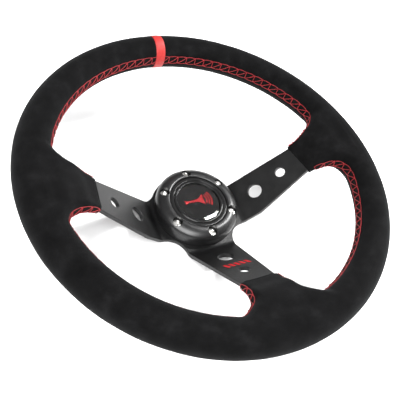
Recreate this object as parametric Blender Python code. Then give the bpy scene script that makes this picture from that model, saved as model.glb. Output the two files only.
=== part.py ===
"""A deep-dish motorsport steering wheel with a press-down horn button.

Three bent spokes of one aluminium plate carry a padded, suede-covered rim. Six screws clamp a trim
ring, and the horn button inside it, to the flat hub, and fasten the wheel to a boss or a
quick-release coupler.

Units are metres. The origin is the centre of the hub's back face, +Z points at the driver along the
steering axis, and +Y points at the top of the rim.
"""

import math

import bmesh
import bpy
from mathutils import Matrix, Vector

# Gap between pieces that touch.
GAP = 0.0003

# Rim: the grip's section is slightly deeper than it is wide.
RIM_RADIUS = 0.1596
RIM_HEIGHT = 0.0734
GRIP_HALF_WIDTH = 0.0154
GRIP_HALF_DEPTH = 0.0167
SUEDE = 0.0013
HOOP_TUBE = 0.006
MARKER_HALF_WIDTH = 0.0058
RIM_STEPS = 48
GRIP_STEPS = 10
HOOP_STEPS = 6
MARKER_STEPS = 20
# A block around the marker, in the lower spoke's directions.
MARKER_REACH = (-0.2, -0.12)
MARKER_HEIGHTS = (0.04, 0.11)

# Spoke plate.
PLATE = 0.004
HUB_RADIUS = 0.045
HUB_BORE = 0.0285
BEND_REACH = 0.04675
BEND_RADIUS = 0.010
BEND_STEPS = 4
SLOPE = math.radians(41)
TIP_HEIGHT = 0.0698
TIP_REACH = 0.149
HOLE_STEPS = 20
SMALL_HOLE_STEPS = 12

# Screws and trim ring.
SCREW_COUNT = 6
SCREW_CIRCLE = 0.035
SCREW_RADIUS = 0.0025
SCREW_HOLE = 0.0028
SCREW_TIP = -0.0023
HEAD_RADIUS = 0.00425
HEAD_SEAT = 0.0137
HEAD_TOP = 0.0170
SOCKET_RADIUS = 0.0023
SOCKET_DEPTH = 0.0019
COUNTERBORE = 0.00475
COUNTERBORE_STEPS = 16
RING_RADIUS = 0.0425
RING_TOP = 0.0213
RING_OPENING = 0.0295
RING_STEPS = 48

# Horn button.
TRAVEL_STOP = 0.0137
CAP_RADIUS = 0.0251
CAP_TOP = 0.0201
RECESS_RADIUS = 0.0224
RECESS_FLOOR = 0.0170
CAP_UNDERSIDE = 0.0154
LEDGE_TOP = 0.0174
LEDGE_BOTTOM = 0.0123
HOUSING_WALL = 0.0273
HOUSING_BORE = 0.0263
FLOOR_BOTTOM = 0.0060
FLOOR_TOP = 0.0076
BOARD_TOP = 0.0091
CONTACT_THICKNESS = 0.0006
TERMINAL_WIDTH = 0.0063
TERMINAL_THICKNESS = 0.0008
TERMINAL_TIP = -0.0015
TERMINAL_EYE = 0.0009
TERMINAL_PLACES = {"contact_terminal": 0.0195, "spring_terminal": -0.0095}
SPRING_WIRE = 0.00045
SPRING_TURNS = 3.25
BUTTON_STEPS = 36
CONTACT_STEPS = 24

# Rivets between the spoke tips and the hoop's lugs.
RIVET_REACH = 0.141
RIVET_SPREAD = 0.008
RIVET_RADIUS = 0.0025
RIVET_HEAD = 0.0043
RIVET_HEAD_HEIGHT = 0.0018
LUG = 0.003
LUG_HALF_WIDTH = 0.013
LUG_INNER = 0.131
RIVET_STEPS = 10
POCKET_STEPS = 8

# Colours.
BLACK_PAINT = ("black_paint", (0.015, 0.015, 0.016), 0.35, 0.3)
BLACK_RING = ("black_ring", (0.012, 0.012, 0.013), 0.28, 0.2)
BLACK_PLASTIC = ("black_plastic", (0.012, 0.012, 0.012), 0.25, 0.0)
SUEDE_BLACK = ("suede", (0.012, 0.012, 0.013), 0.95, 0.0)
RED_LEATHER = ("red_leather", (0.75, 0.03, 0.03), 0.5, 0.0)
STEEL = ("steel", (0.62, 0.62, 0.63), 0.3, 1.0)
SCREW_STEEL = ("screw_steel", (0.75, 0.74, 0.72), 0.22, 1.0)
BRASS = ("brass", (0.78, 0.57, 0.2), 0.3, 1.0)
FOAM = ("foam", (0.08, 0.08, 0.085), 0.9, 0.0)
FIBRE = ("fibre", (0.35, 0.2, 0.1), 0.7, 0.0)
CLEAR_RESIN = ("clear_resin", (0.9, 0.9, 0.9), 0.05, 0.0)
EMBLEM = ("emblem", (0.02, 0.02, 0.02), 0.3, 0.0)


class Spoke:
    """One arm of the plate: its directions out and across, its edges at the tip, and its grip boot."""

    def __init__(self, name, outward, across, tip_edges, end_skew, boot_edges, holes):
        self.name = name
        self.outward = Vector((*outward, 0))
        self.across = Vector((*across, 0))
        self.tip_edges = tip_edges
        self.end_skew = end_skew
        self.boot_edges = boot_edges
        self.holes = holes

    def at(self, reach, across, height):
        """The point at a reach from the axis, a distance across the arm and a height."""
        return self.outward * reach + self.across * across + Vector((0, 0, height))

    @property
    def middle(self):
        return sum(self.tip_edges) / 2


# The boot around a spoke's end, section by section from its open end to inside the rim:
# reach, height, tilt in degrees and half the thickness.
BOOT_SECTIONS = [
    (0.1080, 0.0552, 41, 0.0035),
    (0.1145, 0.0609, 41, 0.0039),
    (0.1220, 0.0672, 36, 0.0056),
    (0.1300, 0.0705, 20, 0.0086),
    (0.1390, 0.0724, 6, 0.0118),
    (0.1500, 0.0734, 0, 0.0115),
]
# The boots' side edges at those sections, and the holes: reach, distance across the arm and radius.
SIDE_BOOT = [
    (-0.0141, 0.0234),
    (-0.0138, 0.025),
    (-0.0153, 0.029),
    (-0.0168, 0.035),
    (-0.022, 0.046),
    (-0.038, 0.058),
]
LOWER_BOOT = [(-half, half) for half in (0.0194, 0.0190, 0.0205, 0.024, 0.036, 0.050)]
SIDE_HOLES = [(0.0665, -0.0015, 0.0075), (0.091, 0.0025, 0.00525)]
LOWER_HOLES = [(0.0665, 0.0, 0.0075), (0.091, 0.0, 0.00525)]
SPOKES = [
    Spoke("right", (1, 0), (0, 1), (-0.011, 0.0215), 0.18, SIDE_BOOT, SIDE_HOLES),
    Spoke("left", (-1, 0), (0, 1), (-0.011, 0.0215), 0.18, SIDE_BOOT, SIDE_HOLES),
    Spoke("lower", (0, -1), (1, 0), (-0.0165, 0.0165), 0.0, LOWER_BOOT, LOWER_HOLES),
]


def clear_scene():
    for obj in list(bpy.data.objects):
        bpy.data.objects.remove(obj)


def get_material(look):
    """The material with this name, made the first time that it is asked for."""
    name, colour, roughness, metallic = look
    material = bpy.data.materials.get(name)
    if material is None:
        material = bpy.data.materials.new(name)
        material.use_nodes = True
        shader = material.node_tree.nodes["Principled BSDF"]
        shader.inputs["Base Color"].default_value = (*colour, 1)
        shader.inputs["Roughness"].default_value = roughness
        shader.inputs["Metallic"].default_value = metallic
    return material


def add_object(name, bm, look, smooth=True):
    """Turns a bmesh into an object whose faces point out."""
    bmesh.ops.recalc_face_normals(bm, faces=bm.faces)
    mesh = bpy.data.meshes.new(name)
    bm.to_mesh(mesh)
    bm.free()
    if smooth:
        mesh.shade_smooth()
        mesh.set_sharp_from_angle(angle=math.radians(30))
    obj = bpy.data.objects.new(name, mesh)
    bpy.context.scene.collection.objects.link(obj)
    mesh.materials.append(get_material(look))
    return obj


def boolean(obj, other, operation):
    """Cuts, joins or trims obj with another body, which then serves only as a cutter."""
    modifier = obj.modifiers.new(f"{operation.lower()}_{other.name}", "BOOLEAN")
    modifier.operation = operation
    modifier.solver = "EXACT"
    modifier.object = other
    other.hide_render = True
    other.display_type = "WIRE"


def turned(name, profile, look, steps, closed=False, turn=2 * math.pi):
    """A body turned around Z from points of (radius, height); an open profile starts and ends on the axis."""
    bm = bmesh.new()
    verts = [bm.verts.new((radius, 0, height)) for radius, height in profile]
    following = verts[1:] + verts[:1] if closed else verts[1:]
    edges = [bm.edges.new(pair) for pair in zip(verts, following)]
    whole = turn == 2 * math.pi
    ends = bmesh.ops.spin(
        bm, geom=verts + edges, axis=(0, 0, 1), angle=turn, steps=steps, use_merge=whole
    )["geom_last"]
    if not whole:
        bm.faces.new(verts)
        bm.faces.new([vert for vert in ends if isinstance(vert, bmesh.types.BMVert)])
    bmesh.ops.remove_doubles(bm, verts=bm.verts, dist=1e-6)
    return add_object(name, bm, look)


def prism(name, outline, low, high, look, smooth=False):
    """A straight-sided body over a plan outline of (x, y) points."""
    bm = bmesh.new()
    face = bm.faces.new([bm.verts.new((x, y, low)) for x, y in outline])
    grown = bmesh.ops.extrude_face_region(bm, geom=[face])["geom"]
    top = [item for item in grown if isinstance(item, bmesh.types.BMVert)]
    bmesh.ops.translate(bm, verts=top, vec=(0, 0, high - low))
    return add_object(name, bm, look, smooth)


def box(name, spoke, reach, across, height, look):
    """A block between pairs of limits along a spoke's directions."""
    bm = bmesh.new()
    bmesh.ops.create_cube(bm, size=1)
    for vert in bm.verts:
        limits = [pair[coordinate > 0] for pair, coordinate in zip((reach, across, height), vert.co)]
        vert.co = spoke.at(*limits)
    return add_object(name, bm, look, smooth=False)


def drill(name, centre, direction, radius, half_length, steps=24):
    """A round cutter centred on a point, along a direction."""
    bm = bmesh.new()
    turn = Vector((0, 0, 1)).rotation_difference(direction).to_matrix().to_4x4()
    bmesh.ops.create_cone(
        bm, cap_ends=True, segments=steps, radius1=radius, radius2=radius, depth=2 * half_length,
        matrix=Matrix.Translation(centre) @ turn,
    )
    return add_object(name, bm, STEEL)


def arc(centre, radius, start, end, steps):
    """Points along an arc, with its angles in degrees."""
    points = []
    for step in range(steps + 1):
        angle = math.radians(start + (end - start) * step / steps)
        points.append((centre[0] + radius * math.cos(angle), centre[1] + radius * math.sin(angle)))
    return points


# ---------------------------------------------------------------- spoke frame


def bend_profile(half):
    """Pairs of (reach, height) points on the bent plate's two faces, each half a thickness off its middle."""
    tangent = BEND_RADIUS * math.tan(SLOPE / 2)
    rise_reach = (TIP_HEIGHT - PLATE / 2) / math.tan(SLOPE)
    middle = []
    for corner, start, end in (
        (Vector((BEND_REACH, PLATE / 2)), 0, SLOPE),
        (Vector((BEND_REACH + rise_reach, TIP_HEIGHT)), SLOPE, 0),
    ):
        side = 1 if end > start else -1
        begin = corner - tangent * Vector((math.cos(start), math.sin(start)))
        centre = begin + side * BEND_RADIUS * Vector((-math.sin(start), math.cos(start)))
        for step in range(BEND_STEPS + 1):
            angle = start + (end - start) * step / BEND_STEPS
            normal = Vector((-math.sin(angle), math.cos(angle)))
            middle.append((centre - side * BEND_RADIUS * normal, normal))
    flat = Vector((0, 1))
    middle.insert(0, (Vector((0, PLATE / 2)), flat))
    middle.append((Vector((TIP_REACH + 0.01, TIP_HEIGHT)), flat))
    return [(point - half * normal, point + half * normal) for point, normal in middle]


def bent_slab(name, spoke, start_reach, across, half, look):
    """A strip of bent plate along a spoke, between two distances across it."""
    pairs = bend_profile(half)[1:]
    pairs.insert(0, (Vector((start_reach, PLATE / 2 - half)), Vector((start_reach, PLATE / 2 + half))))
    return add_strip(name, spoke, pairs, across, look)


def double_slab(name, spoke, across, half, look):
    """The same strip, bent up at both ends, across the whole plate."""
    outward = bend_profile(half)[1:]
    mirror = Vector((-1, 1))
    back = [(low * mirror, high * mirror) for low, high in reversed(outward)]
    return add_strip(name, spoke, back + outward, across, look)


def add_strip(name, spoke, pairs, across, look):
    """A body along pairs of (reach, height) points on the plate's two faces."""
    bm = bmesh.new()
    loops = []
    for low, high in pairs:
        corners = [(low, across[0]), (low, across[1]), (high, across[1]), (high, across[0])]
        loops.append([bm.verts.new(spoke.at(point.x, side, point.y)) for point, side in corners])
    skin(bm, loops)
    return add_object(name, bm, look)


def skin(bm, loops):
    """Joins a row of equal loops by quads and closes both ends."""
    for first, second in zip(loops, loops[1:]):
        for index in range(len(first)):
            after = (index + 1) % len(first)
            bm.faces.new((first[index], first[after], second[after], second[index]))
    bm.faces.new(loops[0])
    bm.faces.new(loops[-1])


def half_outline():
    """The plate's plan outline on the +X side, from the top of the hub down to the lower spoke's tip."""
    top_edge, lower_edge = 0.020, 0.0255
    fillet = 0.015
    spread = HUB_RADIUS + fillet
    fillet_height = top_edge + fillet
    fillet_reach = math.sqrt(spread**2 - fillet_height**2)
    hub_end = math.degrees(math.atan2(fillet_height, fillet_reach))
    points = arc((0, 0), HUB_RADIUS, 90, hub_end, 8)
    points += arc((fillet_reach, fillet_height), fillet, 180 + hub_end, 270, 5)[1:]
    points += [(0.104, 0.021), (TIP_REACH, 0.0215), (TIP_REACH, -0.011), (0.113, -0.011)]
    points += [(0.104, -0.0137), (0.072, -0.023), (0.0625, -0.0256)]
    inner_fillet = 0.0205
    inner_centre = lower_edge + inner_fillet
    points += arc((inner_centre, -inner_centre), inner_fillet, 90, 180, 7)
    points += [(0.0245, -0.052), (0.0165, -0.113), (0.0165, -TIP_REACH)]
    return points


def make_spoke_frame():
    right, _, lower = SPOKES
    frame = double_slab("spoke_frame", right, (-0.042, 0.050), PLATE / 2, BLACK_PAINT)
    lower_slab = bent_slab("lower_slab", lower, 0.040, (-0.030, 0.030), PLATE / 2, BLACK_PAINT)
    boolean(frame, lower_slab, "UNION")
    half = half_outline()
    outline = half + [(-x, y) for x, y in reversed(half[1:])]
    boolean(frame, prism("plan_cutter", outline, -0.005, 0.080, BLACK_PAINT), "INTERSECT")
    up = Vector((0, 0, 1))
    bore = drill("bore_drill", Vector((0, 0, 0)), up, HUB_BORE, 2 * PLATE, RING_STEPS)
    boolean(frame, bore, "DIFFERENCE")
    for number, place in enumerate(screw_places(), 1):
        cutter = drill(f"frame_drill_{number}", place, up, SCREW_HOLE, 2 * PLATE, SMALL_HOLE_STEPS)
        boolean(frame, cutter, "DIFFERENCE")
    for spoke in SPOKES:
        normal = spoke.at(-math.sin(SLOPE), 0, math.cos(SLOPE))
        for number, (reach, across, radius) in enumerate(spoke.holes, 1):
            height = PLATE / 2 + (reach - BEND_REACH) * math.tan(SLOPE)
            middle = spoke.at(reach, across, height)
            cutter = drill(f"{spoke.name}_hole_{number}", middle, normal, radius, 2 * PLATE, HOLE_STEPS)
            boolean(frame, cutter, "DIFFERENCE")
        for number, place in enumerate(rivet_places(spoke), 1):
            radius = RIVET_RADIUS + GAP
            cutter = drill(f"{spoke.name}_tip_drill_{number}", place, up, radius, 2 * PLATE, RIVET_STEPS)
            boolean(frame, cutter, "DIFFERENCE")
    return frame


def screw_places():
    """The screw circle's points, the first at the top."""
    places = []
    for number in range(SCREW_COUNT):
        angle = math.radians(90 - number * 360 / SCREW_COUNT)
        places.append(Vector((SCREW_CIRCLE * math.cos(angle), SCREW_CIRCLE * math.sin(angle), 0)))
    return places


def rivet_places(spoke):
    """The two rivets' places across a spoke's tip."""
    return [spoke.at(RIVET_REACH, spoke.middle + side * RIVET_SPREAD, TIP_HEIGHT) for side in (-1, 1)]


# ---------------------------------------------------------------- rim


def ring_section(half_width, half_depth, steps):
    """An ellipse of (radius, height) points around the rim's centre line."""
    points = []
    for step in range(steps):
        angle = 2 * math.pi * step / steps
        points.append((RIM_RADIUS + half_width * math.cos(angle), RIM_HEIGHT + half_depth * math.sin(angle)))
    return points


def make_hoop():
    hoop = turned("rim_hoop", ring_section(HOOP_TUBE, HOOP_TUBE, HOOP_STEPS), STEEL, RIM_STEPS, closed=True)
    low = TIP_HEIGHT + PLATE / 2 + GAP
    for spoke in SPOKES:
        across = (spoke.middle - LUG_HALF_WIDTH, spoke.middle + LUG_HALF_WIDTH)
        lug = box(f"{spoke.name}_lug", spoke, (LUG_INNER, RIM_RADIUS), across, (low, low + LUG), STEEL)
        boolean(hoop, lug, "UNION")
        for number, place in enumerate(rivet_places(spoke), 1):
            name = f"{spoke.name}_lug_drill_{number}"
            cutter = drill(name, place, Vector((0, 0, 1)), RIVET_RADIUS + GAP, 0.02, RIVET_STEPS)
            boolean(hoop, cutter, "DIFFERENCE")
    return hoop


def make_rivets():
    """Six rivets that share one mesh, each with its origin in the middle of the plate's thickness."""
    plate_low = -PLATE / 2 - GAP
    lug_high = PLATE / 2 + 2 * GAP + LUG
    dome = 0.6 * RIVET_HEAD
    profile = [
        (0, plate_low - RIVET_HEAD_HEIGHT),
        (dome, plate_low - RIVET_HEAD_HEIGHT),
        (RIVET_HEAD, plate_low),
        (RIVET_RADIUS, plate_low),
        (RIVET_RADIUS, lug_high),
        (RIVET_HEAD, lug_high),
        (dome, lug_high + RIVET_HEAD_HEIGHT),
        (0, lug_high + RIVET_HEAD_HEIGHT),
    ]
    places = [place for spoke in SPOKES for place in rivet_places(spoke)]
    rivets = [turned("spoke_rivet_1", profile, STEEL, RIVET_STEPS)]
    for number in range(2, len(places) + 1):
        rivet = bpy.data.objects.new(f"spoke_rivet_{number}", rivets[0].data)
        bpy.context.scene.collection.objects.link(rivet)
        rivets.append(rivet)
    for rivet, place in zip(rivets, places):
        rivet.location = place
    return rivets


def boot_loop(spoke, index, inset, slide=0.0):
    """One rounded section of a boot, moved in from the suede's outside, or slid back along the spoke."""
    reach, height, tilt, half = BOOT_SECTIONS[index]
    low, high = spoke.boot_edges[index]
    tilt = math.radians(tilt)
    corner = 0.6 * half - inset
    half -= inset
    low += inset
    high -= inset
    points = []
    for across, up, start in (
        (high - corner, half - corner, 0),
        (low + corner, half - corner, 90),
        (low + corner, corner - half, 180),
        (high - corner, corner - half, 270),
    ):
        points += arc((across, up), corner, start, start + 90, 1)
    skew = spoke.end_skew if index < 2 else 0
    loop = []
    for across, up in points:
        along = -slide - skew * (across - spoke.middle)
        loop.append(
            spoke.at(
                reach + along * math.cos(tilt) - up * math.sin(tilt),
                across,
                height + along * math.sin(tilt) + up * math.cos(tilt),
            )
        )
    return loop


def boot(name, spoke, inset, first, slide=0.0):
    """The boot's outer shape, from one of its sections to inside the rim; a slide lengthens its open end."""
    bm = bmesh.new()
    loops = [boot_loop(spoke, index, inset) for index in range(first, len(BOOT_SECTIONS))]
    if slide:
        loops.insert(0, boot_loop(spoke, first, inset, slide))
    skin(bm, [[bm.verts.new(point) for point in loop] for loop in loops])
    return add_object(name, bm, SUEDE_BLACK)


def grip_body(name, inset, look, first=0, slide=0.0):
    """The rim's section turned all round, joined to its three boots."""
    profile = ring_section(GRIP_HALF_WIDTH - inset, GRIP_HALF_DEPTH - inset, GRIP_STEPS)
    body = turned(name, profile, look, RIM_STEPS, closed=True)
    for spoke in SPOKES:
        boolean(body, boot(f"{name}_{spoke.name}_boot", spoke, inset, first, slide), "UNION")
    return body


def make_suede_cover():
    cover = grip_body("suede_cover", 0, SUEDE_BLACK)
    boolean(cover, grip_body("suede_inside", SUEDE, SUEDE_BLACK, slide=0.008), "DIFFERENCE")
    lower = SPOKES[2]
    gap = MARKER_HALF_WIDTH + GAP
    marker_gap = box("marker_gap", lower, MARKER_REACH, (-gap, gap), MARKER_HEIGHTS, SUEDE_BLACK)
    boolean(cover, marker_gap, "DIFFERENCE")
    return cover


def make_centre_marker():
    """A short sleeve of leather in the suede's gap at the top of the rim."""
    lower = SPOKES[2]
    marker = turned(
        "centre_marker",
        ring_section(GRIP_HALF_WIDTH + GAP, GRIP_HALF_DEPTH + GAP, MARKER_STEPS),
        RED_LEATHER,
        RIM_STEPS,
        closed=True,
    )
    inside = ring_section(GRIP_HALF_WIDTH - SUEDE, GRIP_HALF_DEPTH - SUEDE, MARKER_STEPS)
    boolean(marker, turned("marker_inside", inside, RED_LEATHER, RIM_STEPS, closed=True), "DIFFERENCE")
    half = MARKER_HALF_WIDTH
    limits = box("marker_limits", lower, MARKER_REACH, (-half, half), MARKER_HEIGHTS, RED_LEATHER)
    boolean(marker, limits, "INTERSECT")
    return marker


def make_foam():
    """The padding: it fills the cover, and holds the hoop, its lugs, the rivets and the spoke tips."""
    foam = grip_body("foam_grip", SUEDE + 2 * GAP, FOAM, first=2)
    tube = HOOP_TUBE + GAP
    tunnel = turned("hoop_tunnel", ring_section(tube, tube, HOOP_STEPS), FOAM, RIM_STEPS, closed=True)
    boolean(foam, tunnel, "DIFFERENCE")
    lug_low = TIP_HEIGHT + PLATE / 2
    for spoke in SPOKES:
        edges = (spoke.tip_edges[0] - GAP, spoke.tip_edges[1] + GAP)
        spoke_slot = bent_slab(f"{spoke.name}_slot", spoke, 0.100, edges, PLATE / 2 + GAP, FOAM)
        boolean(foam, spoke_slot, "DIFFERENCE")
        half = LUG_HALF_WIDTH + GAP
        across = (spoke.middle - half, spoke.middle + half)
        height = (lug_low - GAP / 2, lug_low + LUG + 2 * GAP)
        slot = box(f"{spoke.name}_lug_slot", spoke, (LUG_INNER - GAP, RIM_RADIUS), across, height, FOAM)
        boolean(foam, slot, "DIFFERENCE")
        for number, place in enumerate(rivet_places(spoke), 1):
            middle = place + Vector((0, 0, (LUG + GAP) / 2))
            reach = (PLATE + LUG) / 2 + RIVET_HEAD_HEIGHT + 3 * GAP
            name = f"{spoke.name}_pocket_{number}"
            pocket = drill(name, middle, Vector((0, 0, 1)), RIVET_HEAD + GAP, reach, POCKET_STEPS)
            boolean(foam, pocket, "DIFFERENCE")
    return foam


# ---------------------------------------------------------------- trim ring and screws


def make_trim_ring():
    profile = [
        (0.0308, PLATE + GAP),
        (RING_RADIUS - 0.0004, PLATE + GAP),
        (RING_RADIUS, PLATE + 2.3 * GAP),
        (RING_RADIUS, 0.0138),
        (RING_RADIUS - 0.0005, 0.0156),
        (RING_RADIUS - 0.0018, 0.0176),
        (RING_RADIUS - 0.0040, 0.0194),
        (RING_RADIUS - 0.0068, 0.0207),
        (RING_RADIUS - 0.0092, RING_TOP),
        (0.0314, RING_TOP),
        (0.0302, 0.0210),
        (RING_OPENING, 0.0204),
        (RING_OPENING, LEDGE_TOP),
        (HOUSING_WALL + GAP, LEDGE_TOP),
        (HOUSING_WALL + GAP, LEDGE_BOTTOM),
        (0.0308, LEDGE_BOTTOM),
    ]
    ring = turned("trim_ring", profile, BLACK_RING, RING_STEPS, closed=True)
    up = Vector((0, 0, 1))
    half_length = 0.010
    for number, place in enumerate(screw_places(), 1):
        head_room = place + Vector((0, 0, HEAD_SEAT - GAP + half_length))
        name = f"counterbore_{number}"
        counterbore = drill(name, head_room, up, COUNTERBORE, half_length, COUNTERBORE_STEPS)
        boolean(ring, counterbore, "DIFFERENCE")
        shank_room = place + Vector((0, 0, half_length))
        shank_hole = drill(f"ring_drill_{number}", shank_room, up, SCREW_HOLE, half_length, SMALL_HOLE_STEPS)
        boolean(ring, shank_hole, "DIFFERENCE")
    return ring


def make_screws():
    """Six socket-head screws that share one mesh, each with its origin on its axis at the hub's back face."""
    edge = 0.0005
    profile = [
        (0, SCREW_TIP),
        (SCREW_RADIUS - edge, SCREW_TIP),
        (SCREW_RADIUS, SCREW_TIP + edge),
        (SCREW_RADIUS, HEAD_SEAT),
        (HEAD_RADIUS, HEAD_SEAT),
        (HEAD_RADIUS, HEAD_TOP - edge),
        (HEAD_RADIUS - edge, HEAD_TOP),
        (0, HEAD_TOP),
    ]
    pattern = turned("hub_screw_1", profile, SCREW_STEEL, 14)
    socket_middle = Vector((0, 0, HEAD_TOP))
    socket = drill("hex_key", socket_middle, Vector((0, 0, 1)), SOCKET_RADIUS, SOCKET_DEPTH, 6)
    screws = [pattern]
    for number in range(2, SCREW_COUNT + 1):
        screw = bpy.data.objects.new(f"hub_screw_{number}", pattern.data)
        bpy.context.scene.collection.objects.link(screw)
        screws.append(screw)
    for screw, place in zip(screws, screw_places()):
        screw.location = place
        key = socket if screw is pattern else bpy.data.objects.new(f"hex_key_{screw.name}", socket.data)
        if key is not socket:
            bpy.context.scene.collection.objects.link(key)
        key.location = place
        boolean(screw, key, "DIFFERENCE")
    return screws


# ---------------------------------------------------------------- horn button


def make_housing():
    """The fixed cup that the horn cap slides in, with a flange that rests on the trim ring's ledge."""
    flange = LEDGE_TOP + GAP
    flange_radius = RING_OPENING - GAP
    groove = 0.0269
    throat = CAP_RADIUS + GAP
    profile = [
        (0, FLOOR_BOTTOM),
        (HOUSING_WALL - 0.0005, FLOOR_BOTTOM),
        (HOUSING_WALL, FLOOR_BOTTOM + 0.0005),
        (HOUSING_WALL, LEDGE_BOTTOM - 0.0014),
        (groove, LEDGE_BOTTOM - 0.0014),
        (groove, LEDGE_BOTTOM),
        (HOUSING_WALL, LEDGE_BOTTOM),
        (HOUSING_WALL, flange),
        (flange_radius, flange),
        (flange_radius, 0.0193),
        (flange_radius - 0.0005, 0.0198),
        (throat + 0.0006, 0.0198),
        (throat, 0.0192),
        (throat, TRAVEL_STOP + GAP),
        (HOUSING_BORE, TRAVEL_STOP + GAP),
        (HOUSING_BORE, FLOOR_TOP),
        (0, FLOOR_TOP),
    ]
    housing = turned("horn_housing", profile, BLACK_PLASTIC, BUTTON_STEPS)
    cut_terminal_slots(housing)
    return housing


def cut_terminal_slots(obj):
    """Slots for both terminals through a floor or a board."""
    upright = SPOKES[0]
    half_width = TERMINAL_WIDTH / 2 + GAP
    half_thickness = TERMINAL_THICKNESS / 2 + GAP
    for name, reach in TERMINAL_PLACES.items():
        limits = (reach - half_thickness, reach + half_thickness)
        heights = (FLOOR_BOTTOM - 0.002, BOARD_TOP + 0.003)
        slot = box(f"{obj.name}_{name}_slot", upright, limits, (-half_width, half_width), heights, STEEL)
        boolean(obj, slot, "DIFFERENCE")


def make_retaining_ring():
    """A sprung wire-form ring in the housing's groove, under the trim ring's ledge, open at one side."""
    thickness = 0.0008
    inner, outer = 0.0272, 0.0304
    high = LEDGE_BOTTOM - GAP
    low = high - thickness
    profile = [(inner, low), (outer, low), (outer, high), (inner, high)]
    return turned("retaining_ring", profile, STEEL, CONTACT_STEPS, closed=True, turn=math.radians(345))


def make_insulator_board():
    low = FLOOR_TOP + GAP
    radius = HOUSING_BORE - 0.0004
    profile = [(0, low), (radius, low), (radius, BOARD_TOP), (0, BOARD_TOP)]
    board = turned("insulator_board", profile, FIBRE, CONTACT_STEPS)
    cut_terminal_slots(board)
    return board


def contact_ring(name, inner, outer, low):
    high = low + CONTACT_THICKNESS
    profile = [(inner, low), (outer, low), (outer, high), (inner, high)]
    return turned(name, profile, BRASS, CONTACT_STEPS, closed=True)


def make_terminals():
    """Spade terminals whose tops touch the fixed contact and the spring."""
    terminals = []
    top = BOARD_TOP
    half = TERMINAL_WIDTH / 2
    chamfer = 0.001
    for name, reach in TERMINAL_PLACES.items():
        bm = bmesh.new()
        outline = [
            (-half + chamfer, TERMINAL_TIP),
            (half - chamfer, TERMINAL_TIP),
            (half, TERMINAL_TIP + 2 * chamfer),
            (half, top),
            (-half, top),
            (-half, TERMINAL_TIP + 2 * chamfer),
        ]
        face = bm.faces.new([bm.verts.new((-TERMINAL_THICKNESS / 2, y, z)) for y, z in outline])
        grown = bmesh.ops.extrude_face_region(bm, geom=[face])["geom"]
        far = [item for item in grown if isinstance(item, bmesh.types.BMVert)]
        bmesh.ops.translate(bm, verts=far, vec=(TERMINAL_THICKNESS, 0, 0))
        terminal = add_object(name, bm, BRASS, smooth=False)
        terminal.location = (reach, 0, 0)
        hole = Vector((reach, 0, TERMINAL_TIP + 0.003))
        eye = drill(f"{name}_eye", hole, Vector((1, 0, 0)), TERMINAL_EYE, 0.003, SMALL_HOLE_STEPS)
        boolean(terminal, eye, "DIFFERENCE")
        terminals.append(terminal)
    return terminals


def make_spring():
    """A conical return spring: a wire along a helix that narrows towards the cap."""
    low = BOARD_TOP + GAP + SPRING_WIRE
    high = CAP_UNDERSIDE - GAP - SPRING_WIRE
    bottom_radius, top_radius = 0.0105, 0.0074
    turn_steps = 12
    count = round(SPRING_TURNS * turn_steps)
    curve = bpy.data.curves.new("return_spring", "CURVE")
    curve.dimensions = "3D"
    curve.bevel_depth = SPRING_WIRE
    curve.bevel_resolution = 0
    curve.use_fill_caps = True
    spline = curve.splines.new("POLY")
    spline.points.add(count)
    for index, point in enumerate(spline.points):
        share = index / count
        angle = 2 * math.pi * SPRING_TURNS * share
        radius = bottom_radius + (top_radius - bottom_radius) * share
        point.co = (radius * math.cos(angle), radius * math.sin(angle), low + (high - low) * share, 1)
    curve.materials.append(get_material(STEEL))
    spring = bpy.data.objects.new("return_spring", curve)
    bpy.context.scene.collection.objects.link(spring)
    return spring


def make_cap():
    """The pressed cap: a recessed plate, a skirt whose lip stops against the housing, and a contact rib."""
    lip_low = 0.0122
    lip_radius = HOUSING_BORE - GAP
    skirt_inside = 0.0233
    rib_inner, rib_outer = 0.017, 0.021
    rib_low = 0.0137
    spigot = 0.006
    edge = 0.0005
    profile = [
        (0, CAP_UNDERSIDE - 0.0012),
        (spigot, CAP_UNDERSIDE - 0.0012),
        (spigot, CAP_UNDERSIDE),
        (rib_inner, CAP_UNDERSIDE),
        (rib_inner, rib_low),
        (rib_outer, rib_low),
        (rib_outer, CAP_UNDERSIDE),
        (skirt_inside, CAP_UNDERSIDE),
        (skirt_inside, lip_low),
        (lip_radius, lip_low),
        (lip_radius, TRAVEL_STOP),
        (CAP_RADIUS, TRAVEL_STOP),
        (CAP_RADIUS, CAP_TOP - edge),
        (CAP_RADIUS - edge, CAP_TOP),
        (RECESS_RADIUS + edge, CAP_TOP),
        (RECESS_RADIUS, CAP_TOP - edge),
        (RECESS_RADIUS, RECESS_FLOOR),
        (0, RECESS_FLOOR),
    ]
    return turned("horn_cap", profile, BLACK_PLASTIC, BUTTON_STEPS)


def make_emblem():
    low = RECESS_FLOOR + GAP
    high = low + 0.0006
    radius = RECESS_RADIUS - GAP
    return turned("emblem_disc", [(0, low), (radius, low), (radius, high), (0, high)], EMBLEM, BUTTON_STEPS)


def make_dome():
    """The clear resin dome over the emblem."""
    low = RECESS_FLOOR + 2 * GAP + 0.0006
    radius = RECESS_RADIUS - GAP
    edge_height = 0.0003
    crown = 0.0015
    profile = [(0, low), (radius, low)]
    for share in (1, 0.8, 0.5, 0):
        profile.append((radius * share, low + edge_height + crown * (1 - share**2)))
    return turned("emblem_dome", profile, CLEAR_RESIN, BUTTON_STEPS)


# ---------------------------------------------------------------- assembly


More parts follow.
